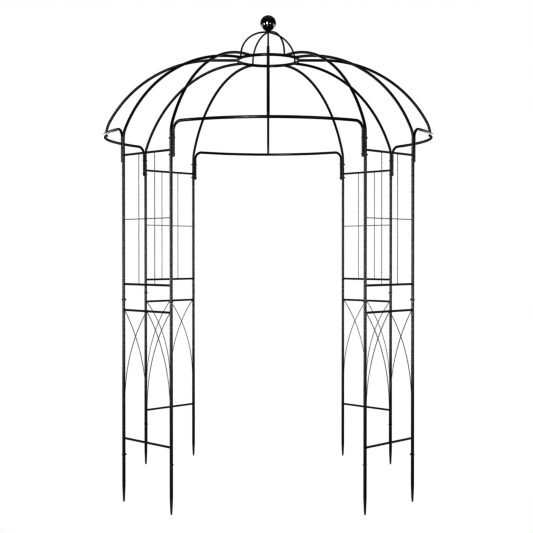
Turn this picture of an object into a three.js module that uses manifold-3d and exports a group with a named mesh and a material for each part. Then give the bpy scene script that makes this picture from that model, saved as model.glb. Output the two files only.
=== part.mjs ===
// Garden arch gazebo: an open, domed frame of black tubular steel, like a tall birdcage.
// Millimetres, +Z up. The origin is on the axis at ground level, and the front opening faces -Y.
// Four ladder panels stand on the diagonals and leave four openings between them. Twelve ribs
// run up to a crown ring, which carries a cage of wire hoops and a polished ball.
import * as THREE from "three";
import { mergeVertices } from "three/addons/utils/BufferGeometryUtils.js";
import Module from "manifold-3d";

const wasm = await Module();
wasm.setup();

// Plan
const OPENING_WIDTH = 1004; // between the posts of an opening, centre to centre
const PANEL_WIDTH = 405; // between the two posts of a panel, centre to centre
const EAVE_BOW = 169.5; // how far the middle of an eave bar stands out beyond its ends
const CROWN_RADIUS = 181; // centre line of the crown ring

// Tube and wire diameters
const POST_DIAMETER = 15.6;
const POST_WALL = 0.6;
const EAVE_DIAMETER = 14;
const CROWN_DIAMETER = 15;
const RUNG_DIAMETER = 10;
const WIRE_DIAMETER = 3;
const HOOP_DIAMETER = 8;
const BALL_DIAMETER = 91;
const SPIKE_TIP = 7;

// Rises, from the ground up
const SPIKE_LENGTH = 247; // up to the foot of the posts
const SPIKE_TAPER = 85; // the pointed part of a spike
const BOTTOM_RUNG_RISE = 102; // above the foot of the posts
const LOWER_RUNG_GAP = 700; // from the bottom rung to the middle one
const JOINT_RISE = 44; // from the middle rung to the joint between the panels
const SILL_RISE = 97; // from that joint to the sill rung
const UPPER_RUNG_GAP = 702; // from the sill rung to the top one
const POST_TOP_RISE = 46; // from the top rung to the top of the posts
const KNEE_RISE = 71; // from the post tops to where a post rib's upright and its arc would meet
const EAVE_RISE = 101; // from the post tops to the eave bars
const MIDDLE_KNEE_RISE = 73; // from the eave bars to the knees of the middle ribs
const DOME_RISE = 463; // from the eave bars to the crown ring
const HOOP_RISE = 166; // from the crown ring to where the hoops cross
const HOOP_UPRIGHT = 14; // the part of that rise before a hoop starts to curve
const BALL_SEAT = 4; // thickness of the seat between the hoops and the ball

// Bends
const RIB_LEVEL = 40; // the straight, level end of a post rib, outside the crown ring
const MIDDLE_RIB_LEVEL = 137;
const RIB_ELBOW = 60; // length of tube over which a rib turns from upright into its arc
const KNEE_SET_IN = 12; // how much a middle rib has leant in by its knee
const EAVE_BEND = 50; // how far an eave bar's end takes to turn down
const BEND_PULL = 0.55; // share of that length that makes the bend a near circular one
const EAVE_LEG = 182; // from the eave bar's height down to its end
const SCROLL_DROP = 517; // how far below its rung a scroll wire has become upright

// Fits
const CLEARANCE = 0.3; // between pieces that touch
const SPIGOT_LENGTH = 40;
const WELD = 1; // how far a welded bar's end runs into the tube that carries it

// Crossing directions of the three cage hoops, counted from the front
const HOOP_ANGLES = [0, 31, 118];

const POST_SIDES = 12;
const TUBE_SIDES = 10;
const ROD_SIDES = 8;
const WIRE_SIDES = 6;
const ARC_STEPS = 12;
const BEND_STEPS = 4;
const HOOP_STEPS = 18;

const postRadius = POST_DIAMETER / 2;
const boreRadius = postRadius - POST_WALL;
const spigotRadius = boreRadius - CLEARANCE;
const socketDepth = SPIGOT_LENGTH + CLEARANCE;
const wireRadius = WIRE_DIAMETER / 2;
const halfPanel = PANEL_WIDTH / 2;
const postAcross = OPENING_WIDTH / 2; // a post's distance from the middle line of its opening
const postOut = postAcross + PANEL_WIDTH * Math.SQRT1_2; // its distance out from the axis
const postCircle = Math.hypot(postAcross, postOut);
const postTurn = Math.atan2(postAcross, postOut);
const panelOut = (postAcross + postOut) * Math.SQRT1_2;

const bottomRung = SPIKE_LENGTH + BOTTOM_RUNG_RISE;
const middleRung = bottomRung + LOWER_RUNG_GAP;
const panelJoint = middleRung + JOINT_RISE;
const sillRung = panelJoint + SILL_RISE;
const topRung = sillRung + UPPER_RUNG_GAP;
const postTop = topRung + POST_TOP_RISE;
const eaveHeight = postTop + EAVE_RISE;
const crownHeight = eaveHeight + DOME_RISE;

// An eave bar's legs stand beside the posts, on the line that runs along the ring of posts.
const legBeside = postRadius + EAVE_DIAMETER / 2 + CLEARANCE;
const legAcross = postAcross - legBeside * Math.cos(postTurn);
const legOut = postOut + legBeside * Math.sin(postTurn);
const eaveReach = legOut + EAVE_BOW;

const blackSteel = { color: 0x0d0d0e, roughness: 0.38, metalness: 0.2 };
const polishedBlack = { color: 0x1c1d1f, roughness: 0.06, metalness: 1 };

// A curve through given points, made so that a bar swept along it has a ring at each point.
class ThroughPoints extends THREE.Curve {
  constructor(points) {
    super();
    this.points = points;
    this.steps = points.length - 1;
  }

  getPoint(t, target = new THREE.Vector3()) {
    const along = t * this.steps;
    const k = Math.min(Math.floor(along), this.steps - 1);
    return target.lerpVectors(this.points[k], this.points[k + 1], along - k);
  }

  getPointAt(t, target) {
    return this.getPoint(t, target);
  }

  getTangentAt(t, target) {
    return this.getTangent(t, target);
  }
}

// A round bar through the points, with flat ends.
function bar(points, diameter, sides) {
  const section = new THREE.Shape();
  for (let i = 0; i < sides; i++) {
    const turn = (2 * Math.PI * i) / sides;
    const corner = [(Math.cos(turn) * diameter) / 2, (Math.sin(turn) * diameter) / 2];
    if (i === 0) section.moveTo(...corner);
    else section.lineTo(...corner);
  }
  const path = new ThroughPoints(points);
  return new THREE.ExtrudeGeometry(section, {
    extrudePath: path,
    steps: path.steps,
    bevelEnabled: false,
  });
}

// A body turned about the Z axis from [radius, height] corners.
function turned(corners, sides) {
  const profile = corners.map(([radius, height]) => new THREE.Vector2(radius, height));
  return new THREE.LatheGeometry(profile, sides).rotateX(Math.PI / 2);
}

function pointsAlong(steps, pointAt) {
  return Array.from({ length: steps + 1 }, (_, i) => pointAt(i / steps));
}

function withoutNormals(geometry) {
  const bare = geometry.index ? geometry.toNonIndexed() : geometry.clone();
  bare.deleteAttribute("normal");
  bare.deleteAttribute("uv");
  return mergeVertices(bare);
}

function solid(geometry) {
  const closed = withoutNormals(geometry);
  return new wasm.Manifold(new wasm.Mesh({
    numProp: 3,
    vertProperties: closed.attributes.position.array,
    triVerts: new Uint32Array(closed.index.array),
  }));
}

function fused(geometries) {
  const mesh = geometries.map(solid).reduce((whole, body) => whole.add(body)).getMesh();
  const geometry = new THREE.BufferGeometry();
  geometry.setAttribute("position", new THREE.BufferAttribute(mesh.vertProperties, 3));
  geometry.setIndex(new THREE.BufferAttribute(mesh.triVerts, 1));
  geometry.computeVertexNormals();
  return geometry;
}

// A panel's post: a socket in its foot, and the given corners for its top end.
function post(foot, topCorners) {
  const footCorners = [
    [0, foot + socketDepth],
    [boreRadius, foot + socketDepth],
    [boreRadius, foot],
    [postRadius, foot],
  ];
  return turned([...footCorners, ...topCorners], POST_SIDES);
}

// The swaged end that plugs into the tube above.
function spigotCorners(shoulder) {
  return [
    [postRadius, shoulder],
    [spigotRadius, shoulder],
    [spigotRadius, shoulder + SPIGOT_LENGTH],
    [0, shoulder + SPIGOT_LENGTH],
  ];
}

function socketCorners(top) {
  return [
    [postRadius, top],
    [boreRadius, top],
    [boreRadius, top - socketDepth],
    [0, top - socketDepth],
  ];
}

// A level bar from post to post of a panel, let into both by the weld.
function rung(height, diameter, sides) {
  const reach = halfPanel - postRadius + WELD;
  const ends = [-reach, reach].map((across) => new THREE.Vector3(0, across, height));
  return bar(ends, diameter, sides);
}

// A scroll wire springs from the middle rung at one place across the panel, curves down until
// it is upright at another, and runs straight down from there to its foot.
function scrollWire(start, end, foot) {
  const across = Math.abs(end - start);
  const curve = (across * across + SCROLL_DROP * SCROLL_DROP) / (2 * across);
  const sweep = Math.asin(SCROLL_DROP / curve);
  const side = Math.sign(start - end);
  const upright = middleRung - SCROLL_DROP;
  const arc = pointsAlong(ARC_STEPS, (t) => {
    const turn = sweep * (1 - t);
    const away = curve * (1 - Math.cos(turn));
    return new THREE.Vector3(0, end + side * away, upright + curve * Math.sin(turn));
  });
  return bar([...arc, new THREE.Vector3(0, end, foot)], WIRE_DIAMETER, WIRE_SIDES);
}

function lowerPanel() {
  const pieces = [
    rung(middleRung, RUNG_DIAMETER, ROD_SIDES),
    rung(bottomRung, RUNG_DIAMETER, ROD_SIDES),
  ];
  for (const side of [-1, 1]) {
    pieces.push(post(SPIKE_LENGTH, spigotCorners(panelJoint)).translate(0, side * halfPanel, 0));
    const postFace = side * (halfPanel - postRadius);
    const besideMiddle = side * (wireRadius - WELD / 2);
    pieces.push(scrollWire(postFace, besideMiddle, bottomRung));
    pieces.push(scrollWire(0, postFace, middleRung - SCROLL_DROP - WIRE_DIAMETER));
  }
  return fused(pieces);
}

function upperPanel() {
  const pieces = [
    rung(sillRung, RUNG_DIAMETER, ROD_SIDES),
    rung(topRung, RUNG_DIAMETER, ROD_SIDES),
    rung((sillRung + topRung) / 2, WIRE_DIAMETER, WIRE_SIDES),
  ];
  for (const side of [-1, 1]) {
    const upright = post(panelJoint + CLEARANCE, socketCorners(postTop));
    pieces.push(upright.translate(0, side * halfPanel, 0));
    const third = (side * PANEL_WIDTH) / 6;
    const ends = [sillRung, topRung].map((height) => new THREE.Vector3(0, third, height));
    pieces.push(bar(ends, WIRE_DIAMETER, WIRE_SIDES));
  }
  return fused(pieces);
}

function groundSpike() {
  return turned([
    [0, 0],
    [SPIKE_TIP / 2, 0],
    [postRadius, SPIKE_TAPER],
    ...spigotCorners(SPIKE_LENGTH - CLEARANCE),
  ], POST_SIDES);
}

// A rib in the plane through the axis: a straight foot, an elbow at the knee, an arc that ends
// level with the crown ring, and a level end up to the ring.
function rib(footOut, footHeight, kneeOut, kneeHeight, level) {
  const ringFace = CROWN_RADIUS + CROWN_DIAMETER / 2 + CLEARANCE;
  const arcCentreOut = ringFace + level;
  const arcRise = crownHeight - kneeHeight;
  const arcRadius = ((kneeOut - arcCentreOut) ** 2 + arcRise ** 2) / (2 * arcRise);
  const kneeTurn = Math.asin((arcRadius - arcRise) / arcRadius);
  const onArc = (turn) => new THREE.Vector3(
    arcCentreOut + arcRadius * Math.cos(turn),
    0,
    crownHeight - arcRadius * (1 - Math.sin(turn)),
  );
  const foot = new THREE.Vector3(footOut, 0, footHeight);
  const knee = new THREE.Vector3(kneeOut, 0, kneeHeight);
  const elbowFoot = knee.clone().sub(foot).setLength(-RIB_ELBOW / 2).add(knee);
  const elbowTurn = kneeTurn + RIB_ELBOW / 2 / arcRadius;
  const elbow = new THREE.QuadraticBezierCurve3(elbowFoot, knee, onArc(elbowTurn));
  return bar([
    foot,
    ...elbow.getPoints(BEND_STEPS),
    ...pointsAlong(ARC_STEPS, (t) => onArc(elbowTurn + (Math.PI / 2 - elbowTurn) * t)).slice(1),
    new THREE.Vector3(ringFace, 0, crownHeight),
  ], 2 * spigotRadius, TUBE_SIDES);
}

function postRib() {
  return rib(postCircle, postTop - SPIGOT_LENGTH, postCircle, postTop + KNEE_RISE, RIB_LEVEL);
}

function middleRib() {
  const foot = eaveHeight + EAVE_DIAMETER / 2 + CLEARANCE;
  const knee = eaveHeight + MIDDLE_KNEE_RISE;
  return rib(eaveReach, foot, eaveReach - KNEE_SET_IN, knee, MIDDLE_RIB_LEVEL);
}

// An eave bar over one opening: bowed outwards, with both ends turned down beside the posts.
function eaveBar() {
  const curve = (legAcross ** 2 + EAVE_BOW ** 2) / (2 * EAVE_BOW);
  const endTurn = Math.asin(legAcross / curve) - EAVE_BEND / curve;
  const onBow = (turn) => new THREE.Vector3(
    eaveReach - curve * (1 - Math.cos(turn)),
    curve * Math.sin(turn),
    eaveHeight,
  );
  const bowEnd = onBow(endTurn);
  const legTop = new THREE.Vector3(legOut, legAcross, eaveHeight - EAVE_BEND);
  const pull = EAVE_BEND * BEND_PULL;
  const alongBow = new THREE.Vector3(-Math.sin(endTurn), Math.cos(endTurn), 0);
  const bend = new THREE.CubicBezierCurve3(
    bowEnd,
    bowEnd.clone().addScaledVector(alongBow, pull),
    legTop.clone().setZ(legTop.z + pull),
    legTop,
  );
  const halfEnd = [...bend.getPoints(BEND_STEPS), legTop.clone().setZ(eaveHeight - EAVE_LEG)];
  const mirrored = halfEnd.map((point) => new THREE.Vector3(point.x, -point.y, point.z));
  const bow = pointsAlong(ARC_STEPS, (t) => onBow(endTurn * (2 * t - 1))).slice(1, -1);
  return bar([...mirrored.reverse(), ...bow, ...halfEnd], EAVE_DIAMETER, TUBE_SIDES);
}

function crownRing() {
  return new THREE.TorusGeometry(CROWN_RADIUS, CROWN_DIAMETER / 2, POST_SIDES, 3 * POST_SIDES);
}

// Three hoops that stand on the crown ring and cross under a small seat for the ball.
function finialCage() {
  const foot = crownHeight + CROWN_DIAMETER / 2 + CLEARANCE;
  const spring = crownHeight + HOOP_UPRIGHT;
  const crossing = crownHeight + HOOP_RISE;
  const arch = pointsAlong(HOOP_STEPS, (t) => new THREE.Vector3(
    CROWN_RADIUS * Math.cos(Math.PI * t),
    0,
    spring + (crossing - spring) * Math.sin(Math.PI * t),
  ));
  const feet = [1, -1].map((side) => new THREE.Vector3(side * CROWN_RADIUS, 0, foot));
  const hoop = bar([feet[0], ...arch, feet[1]], HOOP_DIAMETER, ROD_SIDES);
  const hoops = HOOP_ANGLES.map((angle) => hoop.clone().rotateZ(
    THREE.MathUtils.degToRad(angle - 90),
  ));
  const seatTop = crossing + HOOP_DIAMETER / 2 + BALL_SEAT;
  const seat = turned([
    [0, crossing - HOOP_DIAMETER / 2],
    [HOOP_DIAMETER, crossing - HOOP_DIAMETER / 2],
    [2 * HOOP_DIAMETER, seatTop],
    [0, seatTop],
  ], POST_SIDES);
  return fused([...hoops, seat]);
}

function finialBall() {
  const seatTop = crownHeight + HOOP_RISE + HOOP_DIAMETER / 2 + BALL_SEAT;
  const ball = new THREE.SphereGeometry(BALL_DIAMETER / 2, 2 * TUBE_SIDES, POST_SIDES);
  return ball.rotateX(Math.PI / 2).translate(0, 0, seatTop + CLEARANCE + BALL_DIAMETER / 2);
}

const gazebo = new THREE.Group();

function place(name, geometry, finish, parent = gazebo) {
  const mesh = new THREE.Mesh(geometry, new THREE.MeshStandardMaterial(finish));
  mesh.name = name;
  parent.add(mesh);
  return mesh;
}

function groupTurned(turn) {
  const group = new THREE.Group();
  group.rotation.z = turn;
  gazebo.add(group);
  return group;
}

// Each corner's panel, with the openings that its two posts flank.
const CORNERS = [
  { name: "front_right", clockwise: "front", counter: "right" },
  { name: "back_right", clockwise: "right", counter: "back" },
  { name: "back_left", clockwise: "back", counter: "left" },
  { name: "front_left", clockwise: "left", counter: "front" },
];
CORNERS.forEach((corner, i) => {
  const group = groupTurned((i * Math.PI) / 2 - Math.PI / 4);
  place(corner.name + "_lower_panel", lowerPanel(), blackSteel, group).position.x = panelOut;
  place(corner.name + "_upper_panel", upperPanel(), blackSteel, group).position.x = panelOut;
  for (const [side, opening] of [[-1, corner.clockwise], [1, corner.counter]]) {
    const stem = corner.name + "_" + opening;
    const spike = place(stem + "_spike", groundSpike(), blackSteel, group);
    spike.position.set(panelOut, side * halfPanel, 0);
    const ribGroup = new THREE.Group();
    ribGroup.rotation.z = side * (Math.PI / 4 - postTurn);
    group.add(ribGroup);
    place(stem + "_rib", postRib(), blackSteel, ribGroup);
  }
});

["front", "right", "back", "left"].forEach((opening, i) => {
  const group = groupTurned(((i - 1) * Math.PI) / 2);
  place(opening + "_eave_bar", eaveBar(), blackSteel, group);
  place(opening + "_middle_rib", middleRib(), blackSteel, group);
});

place("crown_ring", crownRing(), blackSteel).position.z = crownHeight;
place("finial_cage", finialCage(), blackSteel);
place("finial_ball", finialBall(), polishedBlack);

export default gazebo;
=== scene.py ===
import math
import random

import bmesh
import bpy
from mathutils import Matrix, Vector


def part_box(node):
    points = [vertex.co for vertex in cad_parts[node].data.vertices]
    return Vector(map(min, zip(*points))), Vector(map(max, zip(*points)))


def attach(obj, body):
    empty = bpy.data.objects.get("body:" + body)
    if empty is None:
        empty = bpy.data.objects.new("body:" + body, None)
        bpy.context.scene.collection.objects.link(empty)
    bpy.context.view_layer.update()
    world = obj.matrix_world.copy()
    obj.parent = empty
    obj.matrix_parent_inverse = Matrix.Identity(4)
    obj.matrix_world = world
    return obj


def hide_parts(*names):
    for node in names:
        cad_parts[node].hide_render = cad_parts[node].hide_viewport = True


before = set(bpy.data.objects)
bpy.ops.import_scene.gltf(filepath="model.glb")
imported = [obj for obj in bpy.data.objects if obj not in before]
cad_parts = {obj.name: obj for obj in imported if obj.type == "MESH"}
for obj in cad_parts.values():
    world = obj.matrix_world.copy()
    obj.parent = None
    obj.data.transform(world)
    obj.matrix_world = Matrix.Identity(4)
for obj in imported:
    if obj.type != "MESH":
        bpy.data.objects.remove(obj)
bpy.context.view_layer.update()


# --- Viewpoint, floor and studio lights ---------------------------------------------------------
# The gazebo stands on a plain white floor that runs out to a white surround. The light comes from
# low down all round, so that it lies on the upright tubes and leaves the ribs nearly black. The Raw
# view keeps thin black tubes at their full weight against the white.

STANDING_EYE = (0, -6.08, 1.347)
EYE_TILT = -0.633
EYE_TURN = 0.093
LENS = 69.1
LIGHTS_AIM = 1.3
FLOOR_RADIUS = 60
ROOM_LIGHT = 0.32
ROOM_TINT = (0.95, 0.97, 1, 1)

camera = bpy.data.objects.new("camera", bpy.data.cameras.new("camera"))
camera.location = STANDING_EYE
camera.rotation_euler = (math.radians(90 + EYE_TILT), 0, math.radians(EYE_TURN))
camera.data.lens = LENS
camera.data.sensor_width = 36
camera.data.clip_end = 200
bpy.context.collection.objects.link(camera)
bpy.context.scene.camera = camera
bpy.context.scene.view_settings.view_transform = "Raw"


def soft_box(name, bearing, distance, height, size, watts, tint=(1, 1, 1)):
    """A flat studio light that faces the gazebo. Its bearing is in degrees from the front, rightwards."""
    light = bpy.data.lights.new(name, "AREA")
    light.shape = "RECTANGLE"
    light.size, light.size_y = size
    light.energy = watts
    light.color = tint
    box = bpy.data.objects.new(name, light)
    turn = math.radians(bearing)
    box.location = (math.sin(turn) * distance, -math.cos(turn) * distance, height)
    box.rotation_euler = (Vector((0, 0, LIGHTS_AIM)) - box.location).to_track_quat("-Z", "Y").to_euler()
    box.visible_camera = False
    bpy.context.collection.objects.link(box)


# Long low diffusers stand at the sides and back. A tall narrow box left of the viewer is the brightest.
soft_box("left_wall", -104, 6.4, 1.3, (5.0, 2.6), 160)
soft_box("right_wall", 100, 6.4, 1.3, (5.6, 2.6), 200)
soft_box("back_right_wall", 142, 6.4, 1.3, (4.6, 2.6), 120)
soft_box("back_left_wall", -142, 6.4, 1.3, (4.6, 2.6), 120)
soft_box("tall_front_box", -15, 6.6, 1.9, (1.5, 3.8), 700)
soft_box("left_strip", -64, 6.0, 1.3, (1.3, 2.4), 230)
soft_box("right_strip", 32, 6.0, 1.2, (2.6, 1.8), 150)
soft_box("floor_bounce", -15, 2.6, 0.02, (1.1, 2.8), 50, (1, 0.88, 0.88))
soft_box("ceiling", 0, 0.2, 6.5, (5, 5), 55)


def studio_floor():
    """A wide disc that glows white and takes no light or shadow, so it stays as white as the surround."""
    mesh = bpy.data.meshes.new("floor")
    shape = bmesh.new()
    bmesh.ops.create_circle(shape, cap_ends=True, segments=96, radius=FLOOR_RADIUS)
    shape.to_mesh(mesh)
    shape.free()
    floor = bpy.data.objects.new("floor", mesh)
    bpy.context.collection.objects.link(floor)
    floor.visible_diffuse = False
    floor.visible_glossy = False
    panel = bpy.data.materials.new("white_floor")
    panel.use_nodes = True
    face = panel.node_tree.nodes["Principled BSDF"]
    face.inputs["Base Color"].default_value = (0, 0, 0, 1)
    face.inputs["Specular IOR Level"].default_value = 0
    face.inputs["Roughness"].default_value = 1
    face.inputs["Emission Color"].default_value = (1, 1, 1, 1)
    face.inputs["Emission Strength"].default_value = 1
    mesh.materials.append(panel)


def white_surround():
    """White behind the gazebo, with a dimmer room round it for the steel to reflect."""
    world = bpy.data.worlds.new("surround")
    world.use_nodes = True
    nodes, links = world.node_tree.nodes, world.node_tree.links
    nodes.clear()
    seen = nodes.new("ShaderNodeBackground")
    seen.inputs["Color"].default_value = (1, 1, 1, 1)
    room = nodes.new("ShaderNodeBackground")
    room.inputs["Color"].default_value = ROOM_TINT
    room.inputs["Strength"].default_value = ROOM_LIGHT
    path = nodes.new("ShaderNodeLightPath")
    choice = nodes.new("ShaderNodeMixShader")
    output = nodes.new("ShaderNodeOutputWorld")
    links.new(path.outputs["Is Camera Ray"], choice.inputs["Fac"])
    links.new(room.outputs["Background"], choice.inputs[1])
    links.new(seen.outputs["Background"], choice.inputs[2])
    links.new(choice.outputs["Shader"], output.inputs["Surface"])
    bpy.context.scene.world = world


studio_floor()
white_surround()


# --- Ground spikes --------------------------------------------------------------------------------
# Eight round steel spikes hold the posts down in the soil. Each is drawn to a blunt point, and its
# reduced top end goes up inside the post. The coat is thin at the point, where soil rubs it.

MM = 0.001
POST_DIAMETER = 15.6 * MM
POST_WALL = 0.6 * MM
SLIP_FIT = 0.3 * MM
SPIGOT_LENGTH = 40 * MM
SPIKE_TIP = 7 * MM
SPIKE_TAPER = 85 * MM
TIP_ROUNDING = 1.6 * MM
RUBBED_POINT = 20 * MM
BROKEN_EDGE = 0.45 * MM
RUBBED_BAND = 9 * MM
EDGE_WEAR = 0.9
CREASE = 38
POST_SIDES = 32
COAT_DARK = (0.0030, 0.0030, 0.0034, 1)
COAT_LIGHT = (0.0065, 0.0065, 0.0070, 1)
COAT_SPECKLE = (0.016, 0.016, 0.0165, 1)
BARE_STEEL = (0.17, 0.165, 0.16, 1)
DRY_SOIL = (0.085, 0.066, 0.047, 1)
SOIL_HEIGHT = 0.11
PEEL_DEPTH = 0.08 * MM

post_radius = POST_DIAMETER / 2
bore = post_radius - POST_WALL
spigot = bore - SLIP_FIT

# Each corner's heading, with the openings on its two sides.
CORNERS = (
    ("front_right", -45, ("front", "right")),
    ("back_right", 45, ("right", "back")),
    ("back_left", 135, ("back", "left")),
    ("front_left", -135, ("left", "front")),
)


def black_powder_coat(name, soil=0.0):
    """Satin black powder coat: an orange-peel skin, soft blotches of sheen, and steel in rubbed edges."""
    coat = bpy.data.materials.new(name)
    coat.use_nodes = True
    nodes, links = coat.node_tree.nodes, coat.node_tree.links
    face = nodes["Principled BSDF"]
    face.inputs["Specular IOR Level"].default_value = 0.42
    place = nodes.new("ShaderNodeTexCoord")

    def noise(scale, detail, rough=0.5):
        grain = nodes.new("ShaderNodeTexNoise")
        grain.inputs["Scale"].default_value = scale
        grain.inputs["Detail"].default_value = detail
        grain.inputs["Roughness"].default_value = rough
        links.new(place.outputs["Object"], grain.inputs["Vector"])
        return grain.outputs["Fac"]

    def spread(value, low, high, to_low, to_high):
        ramp = nodes.new("ShaderNodeMapRange")
        ramp.inputs["From Min"].default_value = low
        ramp.inputs["From Max"].default_value = high
        ramp.inputs["To Min"].default_value = to_low
        ramp.inputs["To Max"].default_value = to_high
        links.new(value, ramp.inputs["Value"])
        return ramp.outputs["Result"]

    def times(first, second):
        product = nodes.new("ShaderNodeMath")
        product.operation = "MULTIPLY"
        links.new(first, product.inputs[0])
        links.new(second, product.inputs[1])
        return product.outputs["Value"]

    def blend(share, under, over):
        """Lays one colour over another. Sockets 6 and 7 are the mix's two colours."""
        mix = nodes.new("ShaderNodeMix")
        mix.data_type = "RGBA"
        links.new(share, mix.inputs["Factor"])
        for socket, colour in ((mix.inputs[6], under), (mix.inputs[7], over)):
            if isinstance(colour, tuple):
                socket.default_value = colour
            else:
                links.new(colour, socket)
        return mix.outputs[2]

    blotches = noise(26, 4, 0.6)
    colour = blend(spread(blotches, 0.35, 0.65, 0, 1), COAT_DARK, COAT_LIGHT)
    speckle = spread(noise(2600, 2), 0.62, 0.74, 0, 0.3)
    colour = blend(speckle, colour, COAT_SPECKLE)

    rubbed = nodes.new("ShaderNodeAttribute")
    rubbed.attribute_name = "rubbed"
    chips = spread(noise(420, 5, 0.7), 0.53, 0.6, 0, 1)
    bare = times(rubbed.outputs["Fac"], chips)
    colour = blend(bare, colour, BARE_STEEL)

    sheen = spread(noise(60, 3), 0.3, 0.7, 0.20, 0.29)
    if soil:
        height = nodes.new("ShaderNodeSeparateXYZ")
        links.new(place.outputs["Object"], height.inputs["Vector"])
        low_down = spread(height.outputs["Z"], 0.0, SOIL_HEIGHT, soil, 0)
        caked = times(low_down, spread(noise(140, 6, 0.7), 0.4, 0.66, 0, 1))
        colour = blend(caked, colour, DRY_SOIL)
        dull = nodes.new("ShaderNodeMath")
        dull.operation = "ADD"
        links.new(sheen, dull.inputs[0])
        links.new(spread(caked, 0, 1, 0, 0.45), dull.inputs[1])
        sheen = dull.outputs["Value"]

    links.new(colour, face.inputs["Base Color"])
    links.new(sheen, face.inputs["Roughness"])
    links.new(bare, face.inputs["Metallic"])

    peel = nodes.new("ShaderNodeBump")
    peel.inputs["Strength"].default_value = 0.06
    peel.inputs["Distance"].default_value = PEEL_DEPTH
    links.new(noise(900, 2), peel.inputs["Height"])
    links.new(peel.outputs["Normal"], face.inputs["Normal"])
    return coat


def skin(rings, rubbed, loop=False):
    """Closes a row of rings of points into one shell: its corners, its faces and how rubbed it is."""
    sides = len(rings[0])
    corners = [point for ring in rings for point in ring]
    wear = [share for share in rubbed for _ in range(sides)]
    faces = []
    for i in range(len(rings) if loop else len(rings) - 1):
        here = i * sides
        there = ((i + 1) % len(rings)) * sides
        for j in range(sides):
            k = (j + 1) % sides
            faces.append((here + j, here + k, there + k, there + j))
    if not loop:
        for start, ring, share in ((0, rings[0], rubbed[0]), (len(corners) - sides, rings[-1], rubbed[-1])):
            middle = len(corners)
            corners.append(sum(ring, Vector()) / sides)
            wear.append(share)
            faces += [(middle, start + (j + 1) % sides, start + j) for j in range(sides)]
    return corners, faces, wear


def turned(outline, sides=POST_SIDES):
    """A piece turned about its upright axis, from (radius, height, rubbed) steps along its outline."""
    rings = []
    for radius, height, _ in outline:
        rings.append([
            Vector((radius * math.cos(turn), radius * math.sin(turn), height))
            for turn in (2 * math.pi * j / sides for j in range(sides))
        ])
    return skin(rings, [step[2] for step in outline])


def moved(shell, matrix):
    corners, faces, wear = shell
    return [matrix @ point for point in corners], faces, wear


def steelwork(name, shells, coat):
    """Joins shells into one piece with smooth sides and crisp edges, which rides on the frame."""
    corners, faces, wear = [], [], []
    for shell in shells:
        first = len(corners)
        corners += shell[0]
        faces += [tuple(first + corner for corner in face) for face in shell[1]]
        wear += shell[2]
    mesh = bpy.data.meshes.new(name)
    mesh.from_pydata(corners, [], faces)
    shape = bmesh.new()
    shape.from_mesh(mesh)
    bmesh.ops.recalc_face_normals(shape, faces=shape.faces)
    shape.to_mesh(mesh)
    shape.free()
    mesh.attributes.new("rubbed", "FLOAT", "POINT").data.foreach_set("value", wear)
    mesh.polygons.foreach_set("use_smooth", [True] * len(mesh.polygons))
    mesh.set_sharp_from_angle(angle=math.radians(CREASE))
    mesh.materials.append(coat)
    piece = bpy.data.objects.new(name, mesh)
    bpy.context.collection.objects.link(piece)
    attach(piece, "root")
    return piece


def edged(height, way):
    """The outline round a broken edge of a post's width. way is 1 where the tube goes up from the edge."""
    edge = [
        (post_radius - BROKEN_EDGE, height, EDGE_WEAR),
        (post_radius, height + way * BROKEN_EDGE, EDGE_WEAR),
        (post_radius, height + way * RUBBED_BAND, 0),
    ]
    return edge if way > 0 else edge[::-1]


def spigot_outline(shoulder):
    """The reduced end above a tube's shoulder, from the shoulder's edge in to the axis."""
    top = shoulder + SPIGOT_LENGTH
    return [(spigot, shoulder, 0), (spigot, top - BROKEN_EDGE, 0), (spigot - BROKEN_EDGE, top, 0)]


spiked_coat = black_powder_coat("black_coat_in_soil", soil=0.12)
posts = {}
for corner, _, openings in CORNERS:
    for opening in openings:
        node = f"{corner}_{opening}_spike"
        low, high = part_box(node)
        shoulder = high.z - SPIGOT_LENGTH
        posts[corner, opening] = Vector(((low.x + high.x) / 2, (low.y + high.y) / 2, 0))
        spike = turned([
            (SPIKE_TIP / 2 - TIP_ROUNDING, 0, 1),
            (SPIKE_TIP / 2 - 0.5 * MM, 0.5 * MM, 1),
            (SPIKE_TIP / 2, 1.8 * MM, 1),
            (SPIKE_TIP / 2 + 1.6 * MM, RUBBED_POINT, 0.5),
            (post_radius - 0.3 * MM, SPIKE_TAPER - 5 * MM, 0.1),
            (post_radius, SPIKE_TAPER + 3 * MM, 0),
            *edged(shoulder, -1),
            *spigot_outline(shoulder),
        ])
        standing = moved(spike, Matrix.Translation(posts[corner, opening]))
        piece = steelwork(f"{corner}_{opening}_ground_spike", [standing], spiked_coat)
        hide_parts(node)


# --- Lower ladder panels --------------------------------------------------------------------------
# Two tube posts joined by a bottom and a middle rung of solid rod, with four scroll wires between
# them. Everything is mig welded, then coated. The tops of the posts are reduced to plug upwards.

RUNG_DIAMETER = 10 * MM
WIRE_DIAMETER = 3 * MM
BOTTOM_RUNG = 349 * MM
MIDDLE_RUNG = 1049 * MM
SCROLL_DROP = 517 * MM
BEAD_WIDTH = 1.3 * MM
WIRE_BEAD = BEAD_WIDTH * 0.6
WELD_SINK = 1.5 * MM
WIRES_PRESSED = 0.4 * MM
ROD_SIDES = 24
WIRE_SIDES = 14
SCROLL_STEPS = 36
BEAD_SIDES = 8
TACK_SIDES = 12

across, outward, upward = Vector((0, 1, 0)), Vector((1, 0, 0)), Vector((0, 0, 1))
coat = black_powder_coat("black_coat")
welders_hand = random.Random(7)
rung_radius = RUNG_DIAMETER / 2
wire_radius = WIRE_DIAMETER / 2


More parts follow.
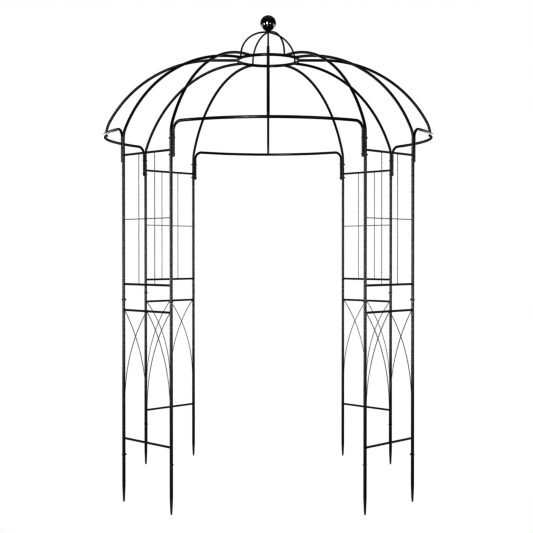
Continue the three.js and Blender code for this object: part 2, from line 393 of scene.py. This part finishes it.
def bent_bar(route, diameter, sides=ROD_SIDES, worn_start=0.0, worn_end=0.0):
    """A round bar along a route of points, with broken edges at its ends."""
    radius = diameter / 2
    edge = min(BROKEN_EDGE, radius / 4)

    def end_steps(end, next_point, worn):
        way = next_point - end
        band = min(RUBBED_BAND, way.length / 2)
        way.normalize()
        return [(end, radius - edge, worn), (end + way * edge, radius, worn), (end + way * band, radius, 0)]

    steps = end_steps(route[0], route[1], worn_start)
    steps += [(point, radius, 0) for point in route[1:-1]]
    steps += end_steps(route[-1], route[-2], worn_end)[::-1]
    points = [step[0] for step in steps]
    rings = []
    side = (points[1] - points[0]).orthogonal().normalized()
    for i, (point, width, _) in enumerate(steps):
        along = (points[min(i + 1, len(points) - 1)] - points[max(i - 1, 0)]).normalized()
        side = (side - along * side.dot(along)).normalized()
        other = along.cross(side)
        rings.append([
            point + (side * math.cos(turn) + other * math.sin(turn)) * width
            for turn in (2 * math.pi * j / sides for j in range(sides))
        ])
    return skin(rings, [step[2] for step in steps])


def weld_bead(middle, carrier, rod, carrier_radius, rod_radius, bead=BEAD_WIDTH):
    """The rippled bead round a rod's end. middle is on the carrier's centre line, which the rod leaves."""
    aside = carrier.cross(rod)
    ripples = 20 if rod_radius > 3 * MM else 12
    phase = welders_hand.uniform(0, 2 * math.pi)
    steps = 3 * ripples
    rings = []
    for i in range(steps):
        turn = 2 * math.pi * i / steps
        size = bead * (1 + 0.13 * math.sin(ripples * turn) + 0.12 * math.sin(2 * turn + phase))
        sideways = rod_radius * math.sin(turn)
        reach = math.sqrt(max(carrier_radius ** 2 - sideways ** 2, 0))
        away = carrier * math.cos(turn) + aside * math.sin(turn)
        centre = middle + carrier * rod_radius * math.cos(turn) + aside * sideways + rod * reach
        rings.append([
            centre + (away * math.cos(lap) + rod * math.sin(lap)) * size
            for lap in (2 * math.pi * j / BEAD_SIDES for j in range(BEAD_SIDES))
        ])
    return skin(rings, [0.0] * steps, loop=True)


def rung(height, half_width, diameter=RUNG_DIAMETER, sides=ROD_SIDES):
    """A level rod from post to post, with the weld bead at each end."""
    reach = half_width - post_radius + WELD_SINK
    ends = [across * side * reach + upward * height for side in (-1, 1)]
    shells = [bent_bar(ends, diameter, sides)]
    for side in (-1, 1):
        foot = across * side * half_width + upward * height
        bead = BEAD_WIDTH if diameter == RUNG_DIAMETER else WIRE_BEAD
        shells.append(weld_bead(foot, upward, across * -side, post_radius, diameter / 2, bead))
    return shells


def post_tube(foot, top_outline):
    """A post with a socket in its foot that slips over the reduced end below."""
    socket = foot + SPIGOT_LENGTH + SLIP_FIT
    inside = [(bore - 1 * MM, socket, 0), (bore, socket, 0), (bore, foot, 0)]
    return turned([*inside, *edged(foot, 1), *top_outline])


def scroll_wire(start, end, foot):
    """Springs from the middle rung at one place, curves down until it is upright, and drops to its foot."""
    away = abs(end - start)
    curve = (away ** 2 + SCROLL_DROP ** 2) / (2 * away)
    sweep = math.asin(SCROLL_DROP / curve)
    side = math.copysign(1, start - end)
    route = []
    for i in range(SCROLL_STEPS + 1):
        turn = sweep * (1 - i / SCROLL_STEPS)
        height = MIDDLE_RUNG - SCROLL_DROP + curve * math.sin(turn)
        route.append(across * (end + side * curve * (1 - math.cos(turn))) + upward * height)
    route.append(across * end + upward * foot)
    return bent_bar(route, WIRE_DIAMETER, WIRE_SIDES)


def tack(place, length):
    """A tack weld: a small lump that runs along a wire where it touches its neighbour."""
    sizes = (0.25, 0.7, 0.95, 1.0, 0.93, 1.02, 0.9, 0.65, 0.25)
    rings = []
    for i, size in enumerate(sizes):
        middle = place + upward * length * (i / (len(sizes) - 1) - 0.5)
        width = size * WIRE_DIAMETER * 0.62 * welders_hand.uniform(0.94, 1.06)
        rings.append([
            middle + (across * math.cos(turn) + outward * math.sin(turn)) * width
            for turn in (2 * math.pi * j / TACK_SIDES for j in range(TACK_SIDES))
        ])
    return skin(rings, [0.0] * len(sizes))


lower_top = {}
panel_place = {}
for corner, heading, openings in CORNERS:
    ends = [posts[corner, opening] for opening in openings]
    half_width = (ends[0] - ends[1]).length / 2
    place = Matrix.Translation((ends[0] + ends[1]) / 2) @ Matrix.Rotation(math.radians(heading), 4, "Z")
    panel_place[corner] = place, half_width
    low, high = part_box(corner + "_lower_panel")
    joint = high.z - SPIGOT_LENGTH
    lower_top[corner] = joint

    post_face = half_width - post_radius
    shells = [*rung(MIDDLE_RUNG, half_width), *rung(BOTTOM_RUNG, half_width)]
    for side in (-1, 1):
        post = post_tube(low.z, [*edged(joint, -1), *spigot_outline(joint)])
        shells.append(moved(post, Matrix.Translation(across * side * half_width)))
        beside_middle = side * (wire_radius - WIRES_PRESSED)
        upright = MIDDLE_RUNG - SCROLL_DROP
        shells.append(scroll_wire(side * post_face, beside_middle, BOTTOM_RUNG))
        shells.append(scroll_wire(0, side * post_face, upright - WIRE_DIAMETER))
        on_post = across * side * (post_face - WIRES_PRESSED)
        shells.append(tack(on_post + upward * (upright - 1 * MM), 12 * MM))
        shells.append(tack(across * side * (post_face - 1.2 * MM) + upward * (MIDDLE_RUNG - 7 * MM), 7 * MM))
        bottom = across * beside_middle + upward * BOTTOM_RUNG
        shells.append(weld_bead(bottom, across, upward, rung_radius, wire_radius, WIRE_BEAD))
    for height in (upright - 8 * MM, (upright + BOTTOM_RUNG) / 2):
        shells.append(tack(upward * height, 11 * MM))
    shells.append(tack(upward * (MIDDLE_RUNG - rung_radius - 1.5 * MM), 5 * MM))
    panel = steelwork(corner + "_lower_ladder", [moved(shell, place) for shell in shells], coat)
    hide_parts(corner + "_lower_panel")


# --- Upper ladder panels --------------------------------------------------------------------------
# The same two posts go on up, with a sill rung and a top rung of rod. Two upright wires and a thin
# cross wire halfway up are resistance welded where they cross. The post tops are open sockets.

SILL_RUNG = 1190 * MM
TOP_RUNG = 1892 * MM

for corner, _, _ in CORNERS:
    place, half_width = panel_place[corner]
    low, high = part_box(corner + "_upper_panel")
    cross_wire = (SILL_RUNG + TOP_RUNG) / 2
    shells = [
        *rung(SILL_RUNG, half_width),
        *rung(TOP_RUNG, half_width),
        *rung(cross_wire, half_width, WIRE_DIAMETER, WIRE_SIDES),
    ]
    socket = high.z - SPIGOT_LENGTH - SLIP_FIT
    mouth = [(bore, high.z, 0), (bore, socket, 0), (bore - 1 * MM, socket, 0)]
    for side in (-1, 1):
        post = post_tube(low.z, [*edged(high.z, -1), *mouth])
        shells.append(moved(post, Matrix.Translation(across * side * half_width)))
        third = across * side * half_width / 3
        wire_ends = [third + upward * SILL_RUNG, third + upward * TOP_RUNG]
        shells.append(bent_bar(wire_ends, WIRE_DIAMETER, WIRE_SIDES))
        for end, way in zip(wire_ends, (upward, -upward)):
            shells.append(weld_bead(end, across, way, rung_radius, wire_radius, WIRE_BEAD))
        shells.append(tack(third + upward * cross_wire, 6 * MM))
    panel = steelwork(corner + "_upper_ladder", [moved(shell, place) for shell in shells], coat)
    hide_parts(corner + "_upper_panel")


# --- Joint bolts ----------------------------------------------------------------------------------
# A small pan head bolt of blackened steel runs in through each joint from outside, just above the
# seam, and locks the tube over the reduced end inside it. The nut and the bolt's tip show on the side
# facing the axis.

HEAD_DIAMETER = 9.5 * MM
HEAD_HEIGHT = 2.6 * MM
HEAD_EDGE = 0.25 * MM
HEAD_RIM = 0.7 * MM
SOCKET_WIDTH = 3.2 * MM
SOCKET_DEPTH = 1.7 * MM
SOCKET_EDGE = 0.3 * MM
NUT_WIDTH = 8 * MM
NUT_HEIGHT = 4 * MM
NUT_EDGE = 0.35 * MM
NUT_ROUNDING = 1.11
THREAD_DIAMETER = 5 * MM
THREAD_PITCH = 0.8 * MM
THREAD_DEPTH = 0.42 * MM
THREADS_SHOWN = 5
WASHER_RADIUS = 5 * MM
WASHER_THICK = 0.9 * MM
WASHER_EDGE = 0.2 * MM
BOLT_ABOVE_SEAM = 12 * MM
BOLT_SINK = 0.5 * MM
BOLT_SIDES = 36
SHANK_SIDES = 20
OXIDE_DARK = (0.010, 0.010, 0.011, 1)
OXIDE_LIGHT = (0.045, 0.042, 0.040, 1)
RUBBED_BRIGHT = (0.24, 0.235, 0.23, 1)

thread_radius = THREAD_DIAMETER / 2


def blackened_steel():
    """Steel blackened in oil: mottled, lighter and duller than the coat, and bright where rubbed."""
    steel = bpy.data.materials.new("blackened_bolts")
    steel.use_nodes = True
    nodes, links = steel.node_tree.nodes, steel.node_tree.links
    face = nodes["Principled BSDF"]
    place = nodes.new("ShaderNodeTexCoord")
    mottle = nodes.new("ShaderNodeTexNoise")
    mottle.inputs["Scale"].default_value = 700
    mottle.inputs["Detail"].default_value = 5
    links.new(place.outputs["Object"], mottle.inputs["Vector"])
    oxide = nodes.new("ShaderNodeValToRGB")
    oxide.color_ramp.elements[0].position = 0.35
    oxide.color_ramp.elements[0].color = OXIDE_DARK
    oxide.color_ramp.elements[1].position = 0.7
    oxide.color_ramp.elements[1].color = OXIDE_LIGHT
    links.new(mottle.outputs["Fac"], oxide.inputs["Fac"])
    rubbed = nodes.new("ShaderNodeAttribute")
    rubbed.attribute_name = "rubbed"
    bright = nodes.new("ShaderNodeMath")
    bright.operation = "MULTIPLY"
    links.new(rubbed.outputs["Fac"], bright.inputs[0])
    links.new(mottle.outputs["Fac"], bright.inputs[1])
    tone = nodes.new("ShaderNodeMix")
    tone.data_type = "RGBA"
    tone.inputs[7].default_value = RUBBED_BRIGHT
    links.new(bright.outputs["Value"], tone.inputs["Factor"])
    links.new(oxide.outputs["Color"], tone.inputs[6])
    links.new(tone.outputs[2], face.inputs["Base Color"])
    finish = nodes.new("ShaderNodeMapRange")
    finish.inputs["To Min"].default_value = 0.24
    finish.inputs["To Max"].default_value = 0.46
    links.new(mottle.outputs["Fac"], finish.inputs["Value"])
    links.new(finish.outputs["Result"], face.inputs["Roughness"])
    face.inputs["Metallic"].default_value = 0.85
    grit = nodes.new("ShaderNodeBump")
    grit.inputs["Strength"].default_value = 0.12
    grit.inputs["Distance"].default_value = 0.08 * MM
    links.new(mottle.outputs["Fac"], grit.inputs["Height"])
    links.new(grit.outputs["Normal"], face.inputs["Normal"])
    return steel


def six_sided(width, turn):
    """How far out a hexagon of that width across its flats reaches in one direction."""
    return width / 2 / math.cos((turn + math.pi / 6) % (math.pi / 3) - math.pi / 6)


def bolt_ring(height, reach):
    """A ring of points at a height up the bolt. reach gives the radius for each direction."""
    turns = [2 * math.pi * j / BOLT_SIDES for j in range(BOLT_SIDES)]
    return [Vector((reach(turn) * math.cos(turn), reach(turn) * math.sin(turn), height)) for turn in turns]


def pan_head():
    """A low domed head with a six sided socket, standing on the level where it seats."""
    radius = HEAD_DIAMETER / 2
    rows = [bolt_ring(0, lambda turn: radius - HEAD_EDGE), bolt_ring(HEAD_EDGE, lambda turn: radius)]
    rub = [0.2, 0.4]
    for i in range(7):
        lift = math.radians(8 + 11 * i)
        rows.append(bolt_ring(
            HEAD_RIM + (HEAD_HEIGHT - HEAD_RIM) * math.sin(lift),
            lambda turn, lift=lift: radius * (0.42 + 0.58 * math.cos(lift)),
        ))
        rub.append(0.25 + 0.05 * i)
    rows.append(bolt_ring(HEAD_HEIGHT, lambda turn: six_sided(SOCKET_WIDTH, turn) + SOCKET_EDGE))
    rows.append(bolt_ring(HEAD_HEIGHT - SOCKET_EDGE, lambda turn: six_sided(SOCKET_WIDTH, turn)))
    rows.append(bolt_ring(HEAD_HEIGHT - SOCKET_DEPTH, lambda turn: six_sided(SOCKET_WIDTH, turn)))
    rub += [0.8, 0.8, 0]
    return skin(rows, rub)


def nut_and_tip():
    """A six sided nut with the end of the thread standing out of it."""
    corner = NUT_WIDTH / 2 * NUT_ROUNDING
    levels = ((0, -NUT_EDGE), (NUT_EDGE, 0), (NUT_HEIGHT - NUT_EDGE, 0), (NUT_HEIGHT, -NUT_EDGE))
    rows = [bolt_ring(0, lambda turn: thread_radius)]
    rows += [
        bolt_ring(height, lambda turn, trim=trim: min(six_sided(NUT_WIDTH, turn), corner + trim))
        for height, trim in levels
    ]
    rows.append(bolt_ring(NUT_HEIGHT, lambda turn: thread_radius + 0.5 * MM))
    rows.append(bolt_ring(NUT_HEIGHT - 0.4 * MM, lambda turn: thread_radius))
    nut = skin(rows, [0, 0.5, 0.5, 0.5, 0.7, 0.5, 0])
    thread, rub = [], []
    for i in range(THREADS_SHOWN):
        base = NUT_HEIGHT - 1 * MM + i * THREAD_PITCH
        thread += [
            bolt_ring(base, lambda turn: thread_radius - THREAD_DEPTH),
            bolt_ring(base + THREAD_PITCH / 2, lambda turn: thread_radius - 0.02 * MM),
        ]
        rub += [0, 0.6]
    thread.append(bolt_ring(base + THREAD_PITCH, lambda turn: thread_radius - 0.8 * MM))
    rub.append(0.4)
    return [nut, skin(thread, rub)]


def washer(thick=WASHER_THICK):
    """A flat steel washer."""
    inner = thread_radius + WASHER_EDGE
    outer = WASHER_RADIUS
    outline = [
        (inner, 0),
        (outer - WASHER_EDGE, 0),
        (outer, WASHER_EDGE),
        (outer, thick - WASHER_EDGE),
        (outer - WASHER_EDGE, thick),
        (inner, thick),
    ]
    rings = [bolt_ring(height, lambda turn, radius=radius: radius) for radius, height in outline]
    return skin(rings, [0.2, 0.5, 0.6, 0.6, 0.5, 0.2], loop=True)


def bolt_through(head_seat, nut_seat):
    """A bolt whose head seats at one point and whose nut, on its washer, seats at the other."""
    way = (head_seat - nut_seat).normalized()
    to_head = Matrix.Translation(head_seat) @ way.to_track_quat("Z", "X").to_matrix().to_4x4()
    to_nut = Matrix.Translation(nut_seat) @ (-way).to_track_quat("Z", "X").to_matrix().to_4x4()
    spin = Matrix.Rotation(fitters_hand.uniform(0, math.pi / 3), 4, "Z")
    shank = bent_bar([nut_seat + way * 0.2 * MM, head_seat - way * 0.2 * MM], THREAD_DIAMETER, SHANK_SIDES)
    on_washer = Matrix.Translation((0, 0, WASHER_THICK))
    return [
        shank,
        moved(pan_head(), to_head @ spin),
        moved(washer(), to_nut),
        *(moved(shell, to_nut @ on_washer @ spin) for shell in nut_and_tip()),
    ]


bolt_steel = blackened_steel()
fitters_hand = random.Random(19)
for (corner, opening), foot in posts.items():
    foot_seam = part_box(f"{corner}_{opening}_spike")[1].z - SPIGOT_LENGTH
    out = foot.normalized() * (post_radius - BOLT_SINK)
    for where, seam in (("spike", foot_seam), ("middle", lower_top[corner])):
        middle = foot + upward * (seam + BOLT_ABOVE_SEAM)
        steelwork(f"{corner}_{opening}_{where}_bolt", bolt_through(middle + out, middle - out), bolt_steel)


# --- Eave bars ------------------------------------------------------------------------------------
# One steel tube over each opening, bowed outwards, its ends turned down beside the posts. Two bolts
# clamp each leg: one to the post, and one to the foot of the rib, with a spacer to fill the gap.
# Moulded plugs close the leg ends.

EAVE_DIAMETER = 14 * MM
EAVE_HEIGHT = 2039 * MM
EAVE_BEND = 50 * MM
BEND_PULL = 0.55
BOW_STEPS = 56
BEND_STEPS = 14
TUBE_SIDES = 28
RIB_FOOT_BOLT = 1954 * MM
POST_BOLT = 1867 * MM
SPACER_THICK = 2.2 * MM
PLUG_LENGTH = 10 * MM
PLUG_SLACK = 1.5 * MM
PLUG_RIBS = 3
PLUG_RIB_PITCH = 2.5 * MM
PLUG_RIB_HEIGHT = 0.6 * MM
PLUG_DARK = (0.010, 0.010, 0.010, 1)
PLUG_LIGHT = (0.022, 0.022, 0.022, 1)

# The headings of the openings, each with its left and right corner as seen from outside.
OPENINGS = (
    ("front", -90, "front_left", "front_right"),
    ("right", 0, "front_right", "back_right"),
    ("back", 90, "back_right", "back_left"),
    ("left", 180, "back_left", "front_left"),
)


def moulded_plastic():
    """Black plastic for the plugs in the tube ends, matt with a faint grain."""
    plastic = bpy.data.materials.new("black_plug")
    plastic.use_nodes = True
    nodes, links = plastic.node_tree.nodes, plastic.node_tree.links
    face = nodes["Principled BSDF"]
    place = nodes.new("ShaderNodeTexCoord")
    grain = nodes.new("ShaderNodeTexNoise")
    grain.inputs["Scale"].default_value = 1500
    grain.inputs["Detail"].default_value = 3
    links.new(place.outputs["Object"], grain.inputs["Vector"])
    tone = nodes.new("ShaderNodeValToRGB")
    tone.color_ramp.elements[0].color = PLUG_DARK
    tone.color_ramp.elements[1].color = PLUG_LIGHT
    links.new(grain.outputs["Fac"], tone.inputs["Fac"])
    links.new(tone.outputs["Color"], face.inputs["Base Color"])
    face.inputs["Roughness"].default_value = 0.55
    matt = nodes.new("ShaderNodeBump")
    matt.inputs["Strength"].default_value = 0.2
    matt.inputs["Distance"].default_value = 0.06 * MM
    links.new(grain.outputs["Fac"], matt.inputs["Height"])
    links.new(matt.outputs["Normal"], face.inputs["Normal"])
    return plastic


def end_plug(radius):
    """A ribbed plug pressed up into a tube, with a low domed cap below its end."""
    stem = radius - PLUG_SLACK
    outline = [(stem, PLUG_LENGTH, 0)]
    for i in range(PLUG_RIBS):
        rib_top = PLUG_LENGTH - 1.5 * MM - i * PLUG_RIB_PITCH
        outline += [(stem, rib_top, 0), (stem + PLUG_RIB_HEIGHT, rib_top - 0.5 * MM, 0)]
    outline += [(stem, 0, 0), (radius - 0.15 * MM, 0, 0), (radius, -0.3 * MM, 0)]
    for i in range(1, 7):
        lean = math.radians(15 * i)
        outline.append((radius * (0.35 + 0.65 * math.cos(lean)), (-0.5 - 1.3 * math.sin(lean)) * MM, 0))
    return turned(outline, TUBE_SIDES)


plug_plastic = moulded_plastic()
eave_middles = {}
for opening, heading, *flanks in OPENINGS:
    turn = Matrix.Rotation(math.radians(heading), 4, "Z")
    low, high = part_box(opening + "_eave_bar")
    reach = max(abs(value) for value in (low.x, low.y, high.x, high.y)) - EAVE_DIAMETER / 2
    post = turn.inverted() @ posts[flanks[1], opening]
    along_ring = Vector((post.y, -post.x, 0)).normalized()
    leg = post + along_ring * (post_radius + EAVE_DIAMETER / 2 + SLIP_FIT)
    bow = reach - leg.x
    curve = (leg.y ** 2 + bow ** 2) / (2 * bow)
    end_turn = math.asin(leg.y / curve) - EAVE_BEND / curve

    def on_bow(angle):
        return Vector((reach - curve * (1 - math.cos(angle)), curve * math.sin(angle), EAVE_HEIGHT))

    leg_top = Vector((leg.x, leg.y, EAVE_HEIGHT - EAVE_BEND))
    pull = EAVE_BEND * BEND_PULL
    bow_end = on_bow(end_turn)
    handles = (
        bow_end,
        bow_end + Vector((-math.sin(end_turn), math.cos(end_turn), 0)) * pull,
        leg_top + upward * pull,
        leg_top,
    )
    half = []
    for i in range(BEND_STEPS + 1):
        t = i / BEND_STEPS
        weights = ((1 - t) ** 3, 3 * t * (1 - t) ** 2, 3 * t * t * (1 - t), t ** 3)
        half.append(sum((point * weight for point, weight in zip(handles, weights)), Vector()))
    half.append(Vector((leg.x, leg.y, low.z)))
    other_half = [Vector((point.x, -point.y, point.z)) for point in half][::-1]
    bow_line = [on_bow(end_turn * (2 * i / BOW_STEPS - 1)) for i in range(1, BOW_STEPS)]
    bar = bent_bar([*other_half, *bow_line, *half], EAVE_DIAMETER, TUBE_SIDES, 0.8, 0.8)
    piece = steelwork(opening + "_eave_tube", [moved(bar, turn)], coat)
    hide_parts(opening + "_eave_bar")
    eave_middles[opening] = turn, reach

    plugs, bolts = [], []
    for side, corner in ((-1, flanks[0]), (1, flanks[1])):
        leg_line = turn @ Vector((leg.x, side * leg.y, 0))
        post_line = posts[corner, opening]
        plugs.append(moved(end_plug(EAVE_DIAMETER / 2), Matrix.Translation(leg_line + upward * low.z)))
        way = (leg_line - post_line).normalized()
        for height, radius in ((POST_BOLT, post_radius), (RIB_FOOT_BOLT, spigot)):
            head = leg_line + way * (EAVE_DIAMETER / 2 - BOLT_SINK) + upward * height
            nut = post_line - way * (radius - BOLT_SINK) + upward * height
            bolts += bolt_through(head, nut)
        spacer_seat = post_line + way * (spigot - BOLT_SINK) + upward * RIB_FOOT_BOLT
        facing = way.to_track_quat("Z", "X").to_matrix().to_4x4()
        bolts.append(moved(washer(thick=SPACER_THICK), Matrix.Translation(spacer_seat) @ facing))
    steelwork(opening + "_eave_plugs", plugs, plug_plastic)
    steelwork(opening + "_eave_bolts", bolts, bolt_steel)


# --- Post ribs ------------------------------------------------------------------------------------
# Eight slimmer steel tubes plug into the post tops, bend inwards at a knee and run as one long arc
# up to the crown ring. They come in level and are welded to it.

CROWN_RADIUS = 181 * MM
CROWN_DIAMETER = 15 * MM
CROWN_HEIGHT = 2502 * MM
RIB_KNEE = 2009 * MM
RIB_LEVEL = 40 * MM
RIB_ELBOW = 60 * MM
RIB_SINK = 0.5 * MM
ARC_STEPS = 44
ELBOW_STEPS = 10

rib_diameter = 2 * spigot
ring_line = Vector((CROWN_RADIUS, 0, CROWN_HEIGHT))
ring_face = CROWN_RADIUS + CROWN_DIAMETER / 2 - RIB_SINK


def rib_route(foot, knee, level):
    """From the foot up to the knee, round the elbow, along the arc and level into the crown ring."""
    arc_centre = CROWN_RADIUS + CROWN_DIAMETER / 2 + SLIP_FIT + level
    rise = CROWN_HEIGHT - knee.z
    arc = ((knee.x - arc_centre) ** 2 + rise ** 2) / (2 * rise)
    knee_turn = math.asin((arc - rise) / arc)

    def on_arc(turn):
        return Vector((arc_centre + arc * math.cos(turn), 0, CROWN_HEIGHT - arc * (1 - math.sin(turn))))

    elbow_foot = knee - (knee - foot).normalized() * RIB_ELBOW / 2
    elbow_turn = knee_turn + RIB_ELBOW / 2 / arc
    elbow_head = on_arc(elbow_turn)
    route = [foot]
    for i in range(ELBOW_STEPS + 1):
        t = i / ELBOW_STEPS
        route.append(elbow_foot * (1 - t) ** 2 + knee * (2 * t * (1 - t)) + elbow_head * t * t)
    for i in range(1, ARC_STEPS + 1):
        route.append(on_arc(elbow_turn + (math.pi / 2 - elbow_turn) * i / ARC_STEPS))
    route.append(Vector((ring_face, 0, CROWN_HEIGHT)))
    return route


for (corner, opening), post in posts.items():
    node = f"{corner}_{opening}_rib"
    low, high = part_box(node)
    turn = Matrix.Rotation(math.atan2(post.y, post.x), 4, "Z")
    foot = Vector((post.length, 0, low.z))
    route = rib_route(foot, Vector((post.length, 0, RIB_KNEE)), RIB_LEVEL)
    bead = weld_bead(ring_line, across, outward, CROWN_DIAMETER / 2, rib_diameter / 2)
    piece = steelwork(f"{corner}_{opening}_post_rib", [
        moved(bent_bar(route, rib_diameter, TUBE_SIDES), turn),
        moved(bead, turn),
    ], coat)
    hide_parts(node)


# --- Middle ribs ----------------------------------------------------------------------------------
# Four more ribs of the same tube stand on the middles of the eave bars. Each slips over a stub that
# is welded to the bar, and a bolt through both has its nut on the inner side.

MIDDLE_KNEE = 2112 * MM
MIDDLE_LEVEL = 137 * MM
KNEE_SET_IN = 12 * MM
STUB_WALL = 0.6 * MM
STUB_BEAD = BEAD_WIDTH * 0.8

for opening, (turn, reach) in eave_middles.items():
    foot = Vector((reach, 0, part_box(opening + "_middle_rib")[0].z))
    knee = Vector((reach - KNEE_SET_IN, 0, MIDDLE_KNEE))
    route = rib_route(foot, knee, MIDDLE_LEVEL)
    crown_bead = weld_bead(ring_line, across, outward, CROWN_DIAMETER / 2, rib_diameter / 2)
    bar_line = Vector((reach, 0, EAVE_HEIGHT))
    stub_radius = rib_diameter / 2 - STUB_WALL
    stub_bead = weld_bead(bar_line, across, upward, EAVE_DIAMETER / 2, stub_radius, STUB_BEAD)
    piece = steelwork(opening + "_eave_rib", [
        moved(bent_bar(route, rib_diameter, TUBE_SIDES, worn_start=0.7), turn),
        moved(crown_bead, turn),
        moved(stub_bead, turn),
    ], coat)
    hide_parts(opening + "_middle_rib")
    way = (knee - foot).normalized()
    middle = foot + way * BOLT_ABOVE_SEAM
    square = Vector((way.z, 0, -way.x))
    seat = rib_diameter / 2 - BOLT_SINK
    bolt = bolt_through(turn @ (middle + square * seat), turn @ (middle - square * seat))
    steelwork(opening + "_eave_rib_bolt", bolt, bolt_steel)


# --- Crown ring -----------------------------------------------------------------------------------
# One hoop of round steel tube gathers the twelve ribs, which are welded to its outside. Its own two
# ends are butted, welded and dressed flat, so that no joint shows under the coat.

RING_STEPS = 120

rings = []
for i in range(RING_STEPS):
    turn = 2 * math.pi * i / RING_STEPS
    out = Vector((math.cos(turn), math.sin(turn), 0))
    rings.append([
        out * (CROWN_RADIUS + CROWN_DIAMETER / 2 * math.cos(lap)) + upward * (
            CROWN_HEIGHT + CROWN_DIAMETER / 2 * math.sin(lap))
        for lap in (2 * math.pi * j / TUBE_SIDES for j in range(TUBE_SIDES))
    ])
ring = steelwork("crown_hoop", [skin(rings, [0.0] * RING_STEPS, loop=True)], coat)
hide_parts("crown_ring")


# --- Finial cage ----------------------------------------------------------------------------------
# Three hoops of thin steel rod are welded to the top of the crown ring and cross over its middle. A
# small turned cup on the crossing carries the ball.

HOOP_DIAMETER = 8 * MM
HOOP_RISE = 166 * MM
HOOP_UPRIGHT = 14 * MM
HOOP_SINK = 0.4 * MM
HOOP_ANGLES = (0, 31, 118)
HOOP_STEPS = 72
HOOP_SIDES = 20
HOOP_BEAD = BEAD_WIDTH * 0.8
CUP_HEIGHT = 4 * MM

shells = []
spring = CROWN_HEIGHT + HOOP_UPRIGHT
crossing = CROWN_HEIGHT + HOOP_RISE
for angle in HOOP_ANGLES:
    turn = Matrix.Rotation(math.radians(angle - 90), 4, "Z")
    foot_height = CROWN_HEIGHT + CROWN_DIAMETER / 2 - HOOP_SINK
    route = [Vector((CROWN_RADIUS, 0, foot_height))]
    for i in range(HOOP_STEPS + 1):
        lean = math.pi * i / HOOP_STEPS
        route.append(Vector((
            CROWN_RADIUS * math.cos(lean), 0, spring + (crossing - spring) * math.sin(lean),
        )))
    route.append(Vector((-CROWN_RADIUS, 0, foot_height)))
    shells.append(moved(bent_bar(route, HOOP_DIAMETER, HOOP_SIDES), turn))
    for side in (-1, 1):
        foot = Vector((side * CROWN_RADIUS, 0, CROWN_HEIGHT))
        bead = weld_bead(foot, across, upward, CROWN_DIAMETER / 2, HOOP_DIAMETER / 2, HOOP_BEAD)
        shells.append(moved(bead, turn))
cup_foot = crossing - HOOP_DIAMETER / 2
cup_top = crossing + HOOP_DIAMETER / 2 + CUP_HEIGHT
shells.append(turned([
    (5 * MM, cup_foot - 1.2 * MM, 0),
    (7.4 * MM, cup_foot - 0.6 * MM, 0),
    (8.4 * MM, cup_foot + 0.8 * MM, 0),
    (9 * MM, cup_foot + 4 * MM, 0),
    (11 * MM, cup_foot + 7.5 * MM, 0),
    (15.3 * MM, cup_top - 1 * MM, 0),
    (16 * MM, cup_top - 0.5 * MM, 0.4),
    (15.6 * MM, cup_top, 0.4),
    (12 * MM, cup_top - 0.2 * MM, 0),
]))
cage = steelwork("finial_hoops", shells, coat)
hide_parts("finial_cage")


# --- Polished ball --------------------------------------------------------------------------------
# A spun hollow steel ball with a dark mirror finish sits in the cup. The two spun halves meet in a
# seam round its middle that is polished almost away.

BALL_SIDES = 72
BALL_ROWS = 48
SEAM_DEPTH = 0.12 * MM
SEAM_SPREAD = 0.035
POLE_RADIUS = 0.4 * MM
MIRROR_DARK = (0.060, 0.058, 0.059, 1)
MIRROR_LIGHT = (0.12, 0.115, 0.117, 1)


def dark_mirror():
    """Black chrome under thin clear lacquer: a dark metal with a soft reflection and a polishing haze."""
    mirror = bpy.data.materials.new("dark_mirror")
    mirror.use_nodes = True
    nodes, links = mirror.node_tree.nodes, mirror.node_tree.links
    face = nodes["Principled BSDF"]
    face.inputs["Metallic"].default_value = 1
    face.inputs["Coat Weight"].default_value = 0.3
    face.inputs["Coat Roughness"].default_value = 0.08
    place = nodes.new("ShaderNodeTexCoord")
    haze = nodes.new("ShaderNodeTexNoise")
    haze.inputs["Scale"].default_value = 55
    haze.inputs["Detail"].default_value = 6
    links.new(place.outputs["Object"], haze.inputs["Vector"])
    tone = nodes.new("ShaderNodeValToRGB")
    tone.color_ramp.elements[0].color = MIRROR_DARK
    tone.color_ramp.elements[1].color = MIRROR_LIGHT
    links.new(haze.outputs["Fac"], tone.inputs["Fac"])
    links.new(tone.outputs["Color"], face.inputs["Base Color"])
    polish = nodes.new("ShaderNodeMapRange")
    polish.inputs["To Min"].default_value = 0.09
    polish.inputs["To Max"].default_value = 0.18
    links.new(haze.outputs["Fac"], polish.inputs["Value"])
    links.new(polish.outputs["Result"], face.inputs["Roughness"])
    return mirror


low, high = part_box("finial_ball")
ball_radius = (high.z - low.z) / 2
centre = (low + high) / 2
outline = []
for i in range(BALL_ROWS + 1):
    lean = math.pi * (i / BALL_ROWS - 0.5)
    dip = SEAM_DEPTH * math.exp(-((lean / SEAM_SPREAD) ** 2))
    outline.append(((ball_radius - dip) * math.cos(lean), centre.z + ball_radius * math.sin(lean), 0))
outline[0] = (POLE_RADIUS, outline[0][1], 0)
outline[-1] = (POLE_RADIUS, outline[-1][1], 0)
shell = moved(turned(outline, BALL_SIDES), Matrix.Translation((centre.x, centre.y, 0)))
ball = steelwork("polished_ball", [shell], dark_mirror())
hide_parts("finial_ball")
